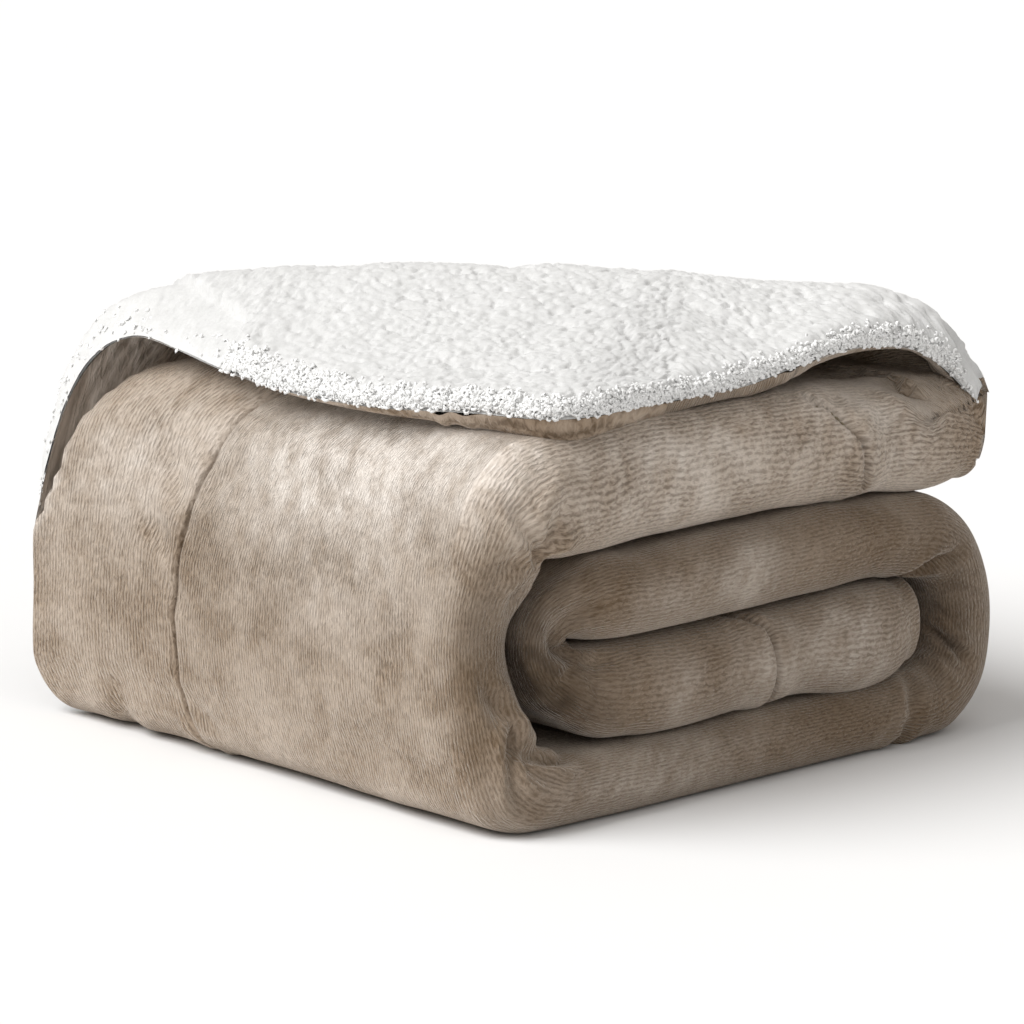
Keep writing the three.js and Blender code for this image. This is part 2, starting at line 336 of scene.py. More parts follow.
def turnedShape():
    # the turned-down corner as a lookup: rows along the fold, columns from its foot to its hem
    alongs = np.linspace(-260, 270, flapSettings["shapeRows"])
    columns = flapSettings["shapeColumns"]
    inTable, rows = flapRowAt(alongs)
    foot = footAt(alongs)
    footX, footY = fromFlapAxes(alongs, foot)
    s = np.interp(footY, unrolled(finePlaces), finePlaces)
    seam = rollSettings["seamInset"]
    cut = smoothAt(stripRows, stripKnots, s)
    _, outer, _ = layerDepths(cut)
    _, foldX = bendOf(cut, outer)
    seamX = seamLine(s)
    left = rollSettings["leftEnd"]
    u = np.where(footX < seamX, (footX - left) * seam / (seamX - left),
                 seam + (footX - seamX) * (layerEnds[1] - seam) / (foldX - seamX))
    u = np.where(footX > foldX, layerEnds[1] + footX - foldX, u)
    start, _, _, _ = rolled(np.maximum(u, 0), s)
    back, crestAt, hemAt = rows[:, 2], rows[:, 3], rows[:, 4]
    crest = rows[:, 1] - rollSettings["sherpaThick"]
    hem = rows[:, 5] - rollSettings["sherpaThick"]
    ground = start[:, 2]
    rise = crest - ground
    marks = [
        (flapSettings["foot"] / 2 - back, ground + 0.03 * rise),
        (-back, ground + 0.4 * rise),
        (0.6 * (crestAt - back), ground + 0.85 * rise),
        (crestAt, crest),
        (0.6 * crestAt + 0.4 * hemAt, crest - 0.32 * (crest - hem)),
        (hemAt, hem),
    ]
    line = [start]
    for towards, height in marks:
        x, y = fromFlapAxes(inTable, towards)
        line.append(np.stack([x, y, height], -1))
    line = np.array(line)                       # marks, alongs, xyz
    shape = np.zeros((len(alongs), columns, 3))
    for i in range(len(alongs)):
        marksHere = line[:, i]
        steps = np.linalg.norm(np.diff(marksHere, axis=0), axis=1)
        knots = np.concatenate([[0], np.cumsum(steps ** 0.7 + 0.01)])
        fine = smoothAt(marksHere, knots, np.linspace(0, knots[-1], 400))
        arc = np.concatenate([[0], np.cumsum(np.linalg.norm(np.diff(fine, axis=0), axis=1))])
        for k in range(3):
            shape[i, :, k] = np.interp(np.linspace(0, arc[-1], columns), arc, fine[:, k])
    acrossWay = np.gradient(shape, axis=1)
    alongWay = np.gradient(shape, axis=0)
    side = np.cross(alongWay, acrossWay)
    side /= np.linalg.norm(side, axis=-1, keepdims=True) + 1e-9
    if side[len(alongs) // 2, 0, 2] < 0:
        side = -side
    return alongs, shape, side


flapAlongs, flapShape, flapSide = turnedShape()


def lookUp(table, along, share):
    # a value of the turned corner's table between its rows and columns
    i = np.clip((along - flapAlongs[0]) / (flapAlongs[1] - flapAlongs[0]), 0, len(flapAlongs) - 1.001)
    j = np.clip(share, 0, 1) * (table.shape[1] - 1)
    j = np.minimum(j, table.shape[1] - 1.001)
    a, b = i.astype(int), j.astype(int)
    fi, fj = (i - a)[..., None], (j - b)[..., None]
    return (table[a, b] * (1 - fi) * (1 - fj) + table[a + 1, b] * fi * (1 - fj)
            + table[a, b + 1] * (1 - fi) * fj + table[a + 1, b + 1] * fi * fj)


def behindFold(flat, s):
    # how far a place of the top layer lies behind the fold line, and where along it
    along, towards = flapAxes(flat, unrolled(s))
    slid = along
    for _ in range(5):
        behind = footAt(slid) - towards
        slid = along + flapSettings["shear"] * np.maximum(behind, 0)
    return slid, behind


def hemDistances():
    # how far behind the fold line the corner's two hems lie
    leftHem = (np.full(900, rollSettings["leftEnd"]), np.linspace(0, stripLength, 900))
    topHem = (np.linspace(rollSettings["leftEnd"], 215, 400), np.full(400, stripLength))
    alongs, behinds = [], []
    for flat, places in (leftHem, topHem):
        along, behind = behindFold(flat, places)
        keep = (behind > 0) & (unrolled(places) > flapSettings["turnsAbove"])
        alongs.append(along[keep])
        behinds.append(behind[keep])
    along, behind = np.concatenate(alongs), np.concatenate(behinds)
    order = np.argsort(along)
    return along[order], behind[order]


hemAlongs, hemBehinds = hemDistances()


def place(u, s):
    # a cloth place's point in the finished fold, its plush side, and how far behind the fold line it was
    point, side, flat, layer = rolled(u, s)
    along, behind = behindFold(flat, s)
    inTop = ((layer == 0) | (layer == 1)) & (behind > 0) & (unrolled(s) > flapSettings["turnsAbove"])
    reach = np.maximum(np.interp(along, hemAlongs, hemBehinds), 2.0)
    tips = (ease(flapSettings["leftTip"] - 4, flapSettings["leftTip"] + flapSettings["tipLength"], along)
            * (1 - ease(flapSettings["rightTip"] - 26, flapSettings["rightTip"], along)))
    weight = np.where(inTop, tips, 0)[..., None]
    # the top layer's end beyond the turned corner is drawn in
    beyond = np.maximum(point[..., 1] - flapSettings["drawnTo"], 0)
    point[..., 1] -= 0.9 * beyond * np.where(inTop & (along > 0), 1 - tips, 0)
    share = behind / reach
    turned = lookUp(flapShape, along, share)
    turnedSide = lookUp(flapSide, along, share)
    point = point * (1 - weight) + turned * weight
    side = side * (1 - weight) + turnedSide * weight
    side /= np.linalg.norm(side, axis=-1, keepdims=True) + 1e-9
    return point, side, np.where(inTop, behind, 0)


def topHeight(x, y):
    # the plush on top of the roll, which the turned corner stays clear of
    cut = smoothAt(stripRows, stripKnots, np.interp(y, unrolled(finePlaces), finePlaces))
    _, outer, _ = layerDepths(cut)
    depth, foldX = bendOf(cut, outer)
    t = np.clip((x - foldX) / depth, 0, 1)
    share = (1 - t ** rollSettings["foldPower"]) ** (1 / rollSettings["foldPower"])
    z = cut[..., 1] + (cut[..., 3] - cut[..., 1]) * (0.5 + 0.5 * share)
    return np.where((t < 1) & (y > -150), z * np.interp(x, *smoothTaper), -1.0)


def spread(*runs):
    # places from runs of (start, end, step)
    places = []
    for start, end, step in runs:
        count = max(int(round((end - start) / step)), 1)
        places.extend(np.linspace(start, end, count, endpoint=False))
    return np.array(places + [runs[-1][1]])


def meshObject(name, points, corners, sizes, material):
    # a smooth mesh from its points, the corners of its faces in a row, and how many each face has
    mesh = bpy.data.meshes.new(name)
    mesh.vertices.add(len(points))
    mesh.vertices.foreach_set("co", ((points + centre) * mm).reshape(-1))
    mesh.loops.add(len(corners))
    mesh.loops.foreach_set("vertex_index", corners)
    mesh.polygons.add(len(sizes))
    mesh.polygons.foreach_set("loop_start", np.concatenate([[0], np.cumsum(sizes)[:-1]]))
    mesh.polygons.foreach_set("loop_total", sizes)
    mesh.polygons.foreach_set("use_smooth", np.ones(len(sizes), bool))
    mesh.update(calc_edges=True)
    mesh.materials.append(material)
    made = bpy.data.objects.new(name, mesh)
    bpy.context.scene.collection.objects.link(made)
    return made


def sheetObject(name, points, flip, material, kept=None):
    # a grid of points as one open sheet, or the part of it whose points are kept
    rows, columns = points.shape[:2]
    index = np.arange(rows * columns).reshape(rows, columns)
    quads = np.stack([index[:-1, :-1], index[1:, :-1], index[1:, 1:], index[:-1, 1:]], -1).reshape(-1, 4)
    if flip:
        quads = quads[:, ::-1]
    points = points.reshape(-1, 3)
    if kept is not None:
        quads = quads[kept.reshape(-1)[quads].all(1)]
        used, quads = np.unique(quads, return_inverse=True)
        quads = quads.reshape(-1, 4)
        points = points[used]
    sheet = meshObject(name, points, quads.reshape(-1), np.full(len(quads), 4), material)
    sheet.data.validate()
    return sheet, quads


def addClothUv(sheet, quads, u, s):
    # the sheet laid flat, so that its ribs and seams keep to the cloth
    layer = sheet.data.uv_layers.new(name="OFBake")
    flatUv = np.stack([u.reshape(-1) / clothWidth, s.reshape(-1) / stripLength], -1)
    layer.data.foreach_set("uv", flatUv[quads.reshape(-1)].reshape(-1))


def unit(vectors):
    return vectors / (np.linalg.norm(vectors, axis=-1, keepdims=True) + 1e-9)


def edgeRound(u, s):
    # the cloth's thickness runs out to nothing at its hems
    near = np.minimum.reduce([u, clothWidth - u, s, stripLength - s])
    f = np.clip(near / rollSettings["hemRound"], 0, 1)
    return np.sqrt(np.maximum(1 - (1 - f) ** 2, 0)), near


class Wire:
    # wraps a shader socket, so that shader maths reads as plain expressions
    def __init__(self, tree, socket):
        self.tree, self.socket = tree, socket

    def math(self, operation, *others):
        node = self.tree.nodes.new("ShaderNodeMath")
        node.operation = operation
        for slotIndex, value in enumerate((self,) + others):
            connect(self.tree, node.inputs[slotIndex], value)
        return Wire(self.tree, node.outputs[0])

    def reflected(self, operation, other):
        node = self.tree.nodes.new("ShaderNodeMath")
        node.operation = operation
        connect(self.tree, node.inputs[0], other)
        connect(self.tree, node.inputs[1], self)
        return Wire(self.tree, node.outputs[0])

    def __add__(self, other): return self.math("ADD", other)
    def __radd__(self, other): return self.math("ADD", other)
    def __sub__(self, other): return self.math("SUBTRACT", other)
    def __rsub__(self, other): return self.reflected("SUBTRACT", other)
    def __mul__(self, other): return self.math("MULTIPLY", other)
    def __rmul__(self, other): return self.math("MULTIPLY", other)
    def __truediv__(self, other): return self.math("DIVIDE", other)
    def __rtruediv__(self, other): return self.reflected("DIVIDE", other)

    def clipped(self):
        return self.math("MAXIMUM", 0.0).math("MINIMUM", 1.0)


def connect(tree, socket, value):
    if isinstance(value, Wire):
        tree.links.new(value.socket, socket)
    elif value is not None:
        socket.default_value = value


class Finish:
    # a material and the two ways of adding to its nodes
    def __init__(self, name):
        self.material = bpy.data.materials.new(name)
        self.material.use_nodes = True
        self.tree = self.material.node_tree
        self.tree.nodes.clear()

    def node(self, kind, settings=None, output=0, **sockets):
        # any other node: its settings first, then its sockets, named without spaces
        made = self.tree.nodes.new(kind)
        for key, value in (settings or {}).items():
            setattr(made, key, value)
        for key, value in sockets.items():
            names = [x for x in made.inputs if x.name.replace(" ", "") == key and x.enabled]
            connect(self.tree, names[0], value)
        return Wire(self.tree, made.outputs[output])

    def mix(self, factor, a, b):
        made = self.tree.nodes.new("ShaderNodeMix")
        made.data_type = "RGBA"
        connect(self.tree, made.inputs[0], factor)
        connect(self.tree, made.inputs[6], a)
        connect(self.tree, made.inputs[7], b)
        return Wire(self.tree, made.outputs[2])

    def cloth(self, scale):
        # the cloth's own places, with scale cells per metre across and along
        uv = self.node("ShaderNodeUVMap", {"uv_map": "OFBake"})
        made = self.tree.nodes.new("ShaderNodeVectorMath")
        made.operation = "MULTIPLY"
        connect(self.tree, made.inputs[0], uv)
        made.inputs[1].default_value = (clothWidth * mm * scale[0], stripLength * mm * scale[1], 0)
        return Wire(self.tree, made.outputs[0])

    def finish(self, shader):
        out = self.tree.nodes.new("ShaderNodeOutputMaterial")
        connect(self.tree, out.inputs[0], shader)
        return self.material


plushLook = {
    # painted shade colour, for the tone patches below 0 and the seam groove
    "shade": (0.045, 0.028, 0.016, 1),
    "deep": (0.125, 0.082, 0.046, 1),
    "mid": (0.39, 0.297, 0.215, 1),
    "worn": (0.54, 0.46, 0.385, 1),
    # painted highlight colour, for the tone patches above 0
    "silver": (0.80, 0.735, 0.67, 1),
    "turnedNap": 0.50,      # the inner turns' folded edges get painted shade: the share of their own colour kept
    "ribsPerMetre": 476,
    "dashesPerMetre": 320,
    "napSize": 0.045,       # in metres, like the two depths
    "ribDepth": 0.0015,
    "napDepth": 0.006,
}


def plushMaterial():
    look = Finish("taupePlush")
    ribs = plushLook["ribsPerMetre"]
    wander = look.node("ShaderNodeTexNoise", {"noise_dimensions": "2D"}, Vector=look.cloth((45, 30)),
                       Scale=1.0, Detail=3.0, Roughness=0.6)
    across = look.node("ShaderNodeSeparateXYZ", {}, Vector=look.cloth((ribs, ribs)))
    rib = ((across + wander * 2.2) * (2 * math.pi)).math("SINE") * 0.5 + 0.5
    dashes = look.node("ShaderNodeTexNoise", {"noise_dimensions": "2D"},
                       Vector=look.cloth((ribs * 2.1, plushLook["dashesPerMetre"])), Scale=1.0, Detail=2.0,
                       Roughness=0.6, Distortion=0.3)
    coordinate = look.node("ShaderNodeTexCoord", {}, output=3)
    napLarge = look.node("ShaderNodeTexNoise", {}, Vector=coordinate, Scale=1 / plushLook["napSize"],
                         Detail=2.5, Roughness=0.55, Distortion=0.5)
    napSmall = look.node("ShaderNodeTexNoise", {}, Vector=coordinate, Scale=110.0, Detail=3.0,
                         Roughness=0.6)
    crushed = ((napLarge * 0.75 + napSmall * 0.25 - 0.40) / 0.22).clipped()
    pile = rib * 0.20 + dashes * 0.80
    lit = ((pile - 0.34) / 0.30).clipped()
    # the pile's ribs and dashes: painted shade in their grooves (the deep colour), lighter on their raised
    # tops
    colour = look.mix(lit * 0.80 + crushed * 0.20, plushLook["deep"], plushLook["mid"])
    colour = look.mix((crushed * (lit * 0.5 + 0.5)) * 0.6, colour, plushLook["worn"])
    placeU = look.node("ShaderNodeSeparateXYZ", {}, Vector=look.cloth((1000, 1000)))   # in millimetres
    placeS = Wire(look.tree, placeU.socket.node.outputs[1])
    seam = (placeU - rollSettings["seamInset"]).math("ABSOLUTE")
    inSeam = (1.2 - seam / 1.3).clipped()
    onEdge = ((placeU - 333.0) / 24).clipped()
    inner = ((stripKnots[27] - placeS) / 45).clipped()      # up to where the panel meets the top
    # painted shade on the inner turns' folded edges, towards the deep colour
    colour = look.mix((onEdge * inner) * (1 - plushLook["turnedNap"]), colour, plushLook["deep"])
    # painted light from the tone attribute: painted highlights where it is above 0, painted shade where it
    # is below
    tone = look.node("ShaderNodeAttribute", {"attribute_name": "paintedLightTone"}, output=2)
    silver = (tone * (0.45 + crushed * 0.3 + lit * 0.45)).clipped()
    colour = look.mix(silver, colour, plushLook["silver"])
    # painted shade where the tone is below 0
    colour = look.mix((0 - tone).clipped(), colour, plushLook["shade"])
    # painted shade down in the border seam's groove
    colour = look.mix(inSeam * 0.8, colour, plushLook["shade"])
    crush = look.node("ShaderNodeBump", {}, Strength=0.6, Distance=plushLook["napDepth"], Height=napLarge)
    bump = look.node("ShaderNodeBump", {}, Strength=1.0, Distance=plushLook["ribDepth"], Height=pile,
                     Normal=crush)
    return look.finish(look.node("ShaderNodeBsdfPrincipled", {}, BaseColor=colour, Normal=bump,
                                 Roughness=0.82, SpecularIORLevel=0.25, SheenWeight=0.6,
                                 SheenRoughness=0.35, SheenTint=(1.0, 0.91, 0.82, 1)))


sherpaLook = {
    "base": (0.60, 0.60, 0.59, 1),
    "tip": (0.72, 0.72, 0.715, 1),
    "looseBase": (0.88, 0.88, 0.87, 1),     # single curls: the same wool as the sheet, painted lighter to offset the shade the curls cast on each other
    "looseTip": (0.94, 0.94, 0.935, 1),
}


def sherpaMaterial(name, base, tip):
    look = Finish(name)
    coordinate = look.node("ShaderNodeTexCoord", {}, output=3)
    curls = look.node("ShaderNodeTexNoise", {}, Vector=coordinate, Scale=420.0, Detail=3.0,
                      Roughness=0.7, Distortion=1.2)
    clumps = look.node("ShaderNodeTexNoise", {}, Vector=coordinate, Scale=90.0, Detail=2.0)
    tone = (curls * 0.6 + clumps * 0.4 - 0.3) / 0.4
    colour = look.mix(tone.clipped(), base, tip)
    bump = look.node("ShaderNodeBump", {}, Strength=0.3, Distance=0.0008, Height=curls)
    return look.finish(look.node("ShaderNodeBsdfPrincipled", {}, BaseColor=colour, Normal=bump,
                                 Roughness=0.95, SpecularIORLevel=0.15, SheenWeight=0.3,
                                 SheenRoughness=0.5))


# The two border seams that cross the folded edge: how far in from the strip's ends, by cloth place u.
crossSeamColumns = ("u", "fromTopEnd", "fromInnerEnd")
crossSeams = np.array([
    (0, 105, 116),
    (300, 118, 116),
    (346, 142, 116),
    (362, 111, 114),
    (378, 95, 115),
    (394, 90, 119),
    (410, 94, 137),
    (520, 100, 118),
    (1467, 105, 116),
], float)


def seamDistance(u, s):
    # to the nearest border seam, across it
    topSeam = stripLength - np.interp(u, crossSeams[:, 0], crossSeams[:, 1])
    innerSeam = np.interp(u, crossSeams[:, 0], crossSeams[:, 2])
    longSeam = np.abs(u - rollSettings["seamInset"])
    return np.minimum.reduce([longSeam, np.abs(s - topSeam), np.abs(s - innerSeam)])


# Creases pressed into the plush, from cloth place to cloth place. A negative depth is a ridge.
creaseColumns = ("u0", "s0", "u1", "s1", "depth", "width")
creases = [
    (386, 1036, 377, 1062, 4.4, 3.2),     # pinch at the top of the front panel's folded edge
    (386, 1036, 362, 1041, 2.8, 3.2),
    (386, 1032, 370, 1016, 2.4, 3.6),
    (391, 1038, 406, 1054, 4.6, 6.5),
    (392, 1030, 384, 1002, 2.6, 3.6),
    (377, 1050, 366, 1070, -1.6, 4.0),
    (382, 934, 405, 888, 4.8, 3.6),       # and at its foot
    (381, 936, 386, 900, 4.0, 3.2),
    (380, 937, 369, 908, 4.0, 3.4),
    (384, 940, 372, 964, 3.6, 3.8),
    (390, 922, 410, 905, 2.6, 3.2),
    (373, 926, 362, 898, -1.6, 4.0),
    (406, 588, 380, 601, 5.0, 3.2),       # behind the inner turn's end
    (406, 500, 380, 538, 4.2, 4.0),
    (404, 612, 378, 617, -2.2, 4.0),
    (400, 640, 372, 655, 2.6, 4.0),
    (372, 655, 346, 668, 3.0, 3.4),
    (388, 250, 372, 272, 2.8, 3.4),       # mouth of the inner turn
    (388, 246, 366, 242, 2.6, 3.4),
    (386, 252, 374, 292, 2.4, 4.0),
    (394, 222, 389, 244, 2.4, 3.6),
    (394, 270, 389, 252, 2.4, 3.6),
    (386, 240, 371, 212, 2.4, 3.6),
    (366, 262, 352, 290, -1.6, 6.0),
    (359, 1278, 388, 1294, 4.2, 11.0),    # top layer, towards the turned corner
    (290, 1322, 345, 1296, 4.0, 6.0),
    (320, 1278, 300, 1306, 3.0, 6.0),
    (352, 1262, 372, 1240, 2.0, 7.0),
    (116, 1010, 150, 1034, 1.6, 5.0),     # puckers along the panel's seam
    (96, 985, 74, 1004, 1.6, 4.0),
    (97, 1004, 80, 1026, 1.8, 4.0),
    (112, 930, 134, 922, 1.4, 4.0),
    (40, 905, 66, 940, 2.0, 6.0),
    (250, 925, 300, 945, 1.6, 9.0),
    (300, 962, 330, 1000, 1.8, 9.0),
]

# Painted highlights (tone above 0) and painted shade (tone below 0) on the plush: centre, reach and tone.
paintedLightColumns = ("u", "s", "reachU", "reachS", "tone")
paintedLightPatches = [
    (205, 1034, 90, 30, 1.0),
    (364, 1038, 12, 50, -0.2),
    (300, 1048, 60, 30, 0.72),
    (352, 1046, 20, 24, 0.15),
    (60, 1020, 34, 22, 0.4),
    (6, 1040, 14, 34, 0.9),
    (240, 985, 80, 20, 0.2),
    (60, 990, 30, 40, 0.1),
    (372, 1130, 34, 80, 0.5),
    (350, 1240, 34, 44, 0.3),
    (376, 385, 20, 22, 0.32),
    (380, 330, 14, 26, 0.2),
    (374, 120, 22, 34, 0.25),
    (382, 840, 24, 70, 0.3),
    (376, 180, 16, 18, 0.2),
    (354, 250, 34, 28, -0.95),
    (380, 58, 30, 30, 0.4),
    (374, 1292, 34, 34, 0.4),
    (405, 560, 36, 70, -0.6),
    (400, 1000, 22, 70, -0.5),
]


creaseSettings = {
    "strength": 1.5,        # all the creases, deeper or shallower together
    "wobble": 0.9,
    "sides": 0.35,          # how far a crease's two sides stand up, as a share of its depth
}


def creaseHeights(u, s):
    height = np.zeros(u.shape)
    wobble = creaseSettings["wobble"] * ripple(np.stack([u, s], -1), 16, 5)
    for u0, s0, u1, s1, depth, width in creases:
        runU, runS = u1 - u0, s1 - s0
        t = np.clip(((u - u0) * runU + (s - s0) * runS) / (runU**2 + runS**2), 0, 1)
        away = np.hypot(u - u0 - t * runU, s - s0 - t * runS) + wobble
        fade = np.sin(math.pi * (0.12 + 0.84 * t)) ** 0.8
        depth *= creaseSettings["strength"]
        height -= depth * fade * np.exp(-(away / width) ** 2)
        beside = np.exp(-((away - 2.1 * width) / (1.2 * width)) ** 2)
        height += creaseSettings["sides"] * depth * fade * beside
    return height


# the painted highlights and painted shade of the table above, at each cloth place
def paintedLightTones(u, s):
    tone = np.zeros(u.shape)
    for u0, s0, reachU, reachS, strength in paintedLightPatches:
        tone += strength * np.exp(-((u - u0) / reachU) ** 2 - ((s - s0) / reachS) ** 2)
    cloth = np.stack([u, s], -1)
    return tone * (0.9 + 0.32 * ripple(cloth, 24, 41) + 0.25 * ripple(cloth, 9, 42))


def lumps(u, s, size, seed):
    # rounded lumps about one size across, each round its own seeded centre
    rng = np.random.default_rng(seed)
    jitter = rng.random((int(clothWidth / size) + 4, int(stripLength / size) + 4, 2))
    i, j = (u / size).astype(int) + 1, (s / size).astype(int) + 1
    nearest = np.full(u.shape, 9 * size)
    for a in (-1, 0, 1):
        for b in (-1, 0, 1):
            spot = jitter[i + a, j + b]
            nearest = np.minimum(nearest, np.hypot(u - (i + a - 1 + spot[..., 0]) * size,
                                                   s - (j + b - 1 + spot[..., 1]) * size))
    return np.sqrt(np.maximum(1 - (nearest / (0.85 * size)) ** 2, 0))


plushFinish = plushMaterial()
sherpaFinish = sherpaMaterial("whiteSherpa", sherpaLook["base"], sherpaLook["tip"])
# the curls' copy of the wool, painted lighter than the sheet
lightenedCurlFinish = sherpaMaterial("lightenedSherpaCurls", sherpaLook["looseBase"], sherpaLook["looseTip"])
print("materials ready")

# The plush face, one sheet in the whole fold.
plushGrid = {
    "seamStep": 1.1,
    "grooveDepth": 4.6,
    "grooveWidth": 1.25,
    "turnedGroove": 0.45,   # the groove on the turned corner, as a share of its depth elsewhere
    "seamSwell": 1.2,       # how full the plush stands beside its seams
    "unevenness": 0.8,
    "lip": 3.5,             # how far the plush hem rolls out along the turned corner
    "cornerLip": 13.0,      # how much further at the corner's point
    "archLip": 6.0,         # and under the two arches
    "shoulder": 9.0,        # the roll's fullness under that arch
}
seamAt = rollSettings["seamInset"]
u = spread((0, 3.5, 0.9), (3.5, seamAt - 7, 4.6), (seamAt - 7, seamAt + 7, plushGrid["seamStep"]),
           (seamAt + 7, layerEnds[1], 4.2), (layerEnds[1], layerEnds[2], 2.1),
           (layerEnds[2], layerEnds[3], 30), (layerEnds[3], layerEnds[4], 2.8),
           (layerEnds[4], layerEnds[5], 34), (layerEnds[5], layerEnds[6], 5),
           (layerEnds[6], layerEnds[7] - 4, 14), (layerEnds[7] - 4, layerEnds[7], 1.0))
s = spread((0, 3.5, 0.9), (3.5, 108, 3.4), (108, 124, plushGrid["seamStep"]), (124, 225, 3.4),
           (225, 290, 2.5), (290, 500, 3.6), (500, 665, 2.8), (665, 880, 3.8), (880, 1066, 2.5),
           (1066, stripLength - 118, 3.4), (stripLength - 118, stripLength - 86, plushGrid["seamStep"]),
           (stripLength - 86, stripLength - 3.5, 3.4), (stripLength - 3.5, stripLength, 0.9))
plushU, plushS = np.meshgrid(u, s)
base, side, behind = place(plushU, plushS)
rounding, nearHem = edgeRound(plushU, plushS)
height = (rollSettings["clothGap"] / 2 + rollSettings["plushThick"]) * rounding
seamAway = seamDistance(plushU, plushS)
turnedGroove = plushGrid["turnedGroove"] * np.clip(nearHem / 10 - 0.5, 0, 1)
groove = plushGrid["grooveDepth"] * np.where(behind > 2, turnedGroove, 1)
height -= groove * np.exp(-(seamAway / plushGrid["grooveWidth"]) ** 2)
swell = plushGrid["seamSwell"] * np.exp(-((seamAway - 7) / 6) ** 2)
height += swell * (1 + 0.6 * ripple(np.stack([plushU, plushS], -1), 14, 8))
corner = np.hypot(plushU, stripLength - plushS)
leftArch = ease(stripLength - 250, stripLength - 300, plushS) * (plushU < 60)
rightArch = ease(225, 250, plushU) * (1 - ease(300, 330, plushU)) * (plushS > stripLength - 60)
lip = (plushGrid["lip"] + plushGrid["cornerLip"] * np.exp(-(corner / 95) ** 2)
       + plushGrid["archLip"] * (leftArch + rightArch))
inLip = np.clip(nearHem / (17 + 20 * leftArch), 0, 1)
height += np.where(behind > 4, lip * np.sin(math.pi * inLip ** 0.7) ** 1.2 * ease(4, 20, behind), 0)
height += plushGrid["unevenness"] * ripple(base, 60, 3) * ease(2, 14, base[..., 2])
height += creaseHeights(plushU, plushS)
shoulder = np.exp(-((plushU - 50) / 48) ** 2 - ((plushS - 1058) / 26) ** 2)
height += plushGrid["shoulder"] * shoulder * ease(2, -4, behind)
points = base + side * height[..., None]
clear = topHeight(points[..., 0], points[..., 1]) + 0.7
points[..., 2] = np.where((behind > 30) & (points[..., 2] < clear), clear, points[..., 2])
points[..., 2] = np.maximum(points[..., 2], 0.2)
plushCloth, quads = sheetObject("plush_cloth", points, True, plushFinish)
addClothUv(plushCloth, quads, plushU, plushS)
# painted highlights and painted shade, carried on the plush's points
paintedLightLayer = plushCloth.data.attributes.new("paintedLightTone", "FLOAT", "POINT")
paintedLightLayer.data.foreach_set("value", paintedLightTones(plushU, plushS).reshape(-1))
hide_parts("plush_face")
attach(plushCloth, "root")
print("plush cloth", len(quads) * 2, "triangles")

# The sherpa backing, fine only where it shows.
sherpaGrid = {
    "lumpHeight": 5.2,
    "rootDip": 1.6,         # the wool's roots lie this far under the cloth's face
    "pileStep": 0.95,
    "hemFullness": 3.0,     # the wool stands fuller along its hems
    "borderDip": 1.3,       # the sewn border, pulled in from behind
    "hiddenDip": 3.2,       # room under the plush's creases
}
topRows = np.interp(-190, unrolled(finePlaces), finePlaces)    # a little down the front panel


def archHemAt(u, s):
    # where the plush wraps round the hem of the two arches
    return ((u < 10) & (s < stripLength - 240)) | ((u > 235) & (s > stripLength - 9))


turnedLengths = np.linalg.norm(np.diff(flapShape, axis=1), axis=-1).sum(1)    # from its foot to its hem


def woolPlaces(u, s):
    # places on the turned corner itself, along its fold line and down from its foot
    _, _, flat, _ = rolled(u, s)
    along, behind = behindFold(flat, s)
    reach = np.maximum(np.interp(along, hemAlongs, hemBehinds), 2.0)
    return np.stack([along + 300, behind / reach * np.interp(along, flapAlongs, turnedLengths)], -1)


def woolHeight(spot, nearHem, base):
    # rounded curls of three sizes, crowded and a little drawn out of line
    bent = spot + 1.5 * np.stack([ripple(spot, 9, 61), ripple(spot, 9, 62)], -1)
    bent = np.maximum(bent + 0.6 * np.stack([ripple(spot, 3.5, 63), ripple(spot, 3.5, 64)], -1), 0)
    across, down = bent[..., 0], bent[..., 1]
    curls = (0.42 * lumps(across, down, 7.5, 31) + 0.35 * lumps(across, down, 4.4, 32)
             + 0.25 * lumps(across, down, 2.6, 33))
    height = rollSettings["clothGap"] / 2 + rollSettings["sherpaThick"] - sherpaGrid["rootDip"]
    height = height + sherpaGrid["lumpHeight"] * curls
    height += sherpaGrid["hemFullness"] * ease(0, 6, nearHem) * np.exp(-(nearHem / 17) ** 2)
    return height + 1.0 * ripple(base, 45, 12)


u = spread((0, 4.4, 1.1), (4.4, layerEnds[1], 1.9), (layerEnds[1], layerEnds[2], 3),
           (layerEnds[2], layerEnds[3], 40), (layerEnds[3], layerEnds[4], 5),
           (layerEnds[4], layerEnds[5], 40), (layerEnds[5], layerEnds[6], 5),
           (layerEnds[6], layerEnds[7] - 5, 10), (layerEnds[7] - 5, layerEnds[7], 1.2))
s = spread((0, 4, 1), (4, 214, 13), (214, 300, 4.5), (300, topRows, 13),
           (topRows, stripLength - 5, 1.9), (stripLength - 5, stripLength, 1.2))
sherpaU, sherpaS = np.meshgrid(u, s)
base, side, sherpaBehind = place(sherpaU, sherpaS)
rounding, nearHem = edgeRound(sherpaU, sherpaS)
height = np.full(sherpaU.shape, rollSettings["clothGap"] / 2 + rollSettings["sherpaThick"] - 2.4)
height += 1.4 * lumps(sherpaU, sherpaS, 6.5, 31) * (sherpaBehind <= 2)
mouth = np.exp(-((sherpaS - 250) / 45) ** 2)       # where the layers lie too close for a dip
height += sherpaGrid["hiddenDip"] * (sherpaBehind <= 2) * (1 - mouth)
archHem = archHemAt(sherpaU, sherpaS)
height *= rounding * np.where(archHem, 0.4, 1)
points = base - side * height[..., None]
points[..., 2] = np.maximum(points[..., 2], 0.4)
sherpaCloth, quads = sheetObject("sherpa_cloth", points, False, sherpaFinish)
addClothUv(sherpaCloth, quads, sherpaU, sherpaS)
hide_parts("sherpa_backing")
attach(sherpaCloth, "root")
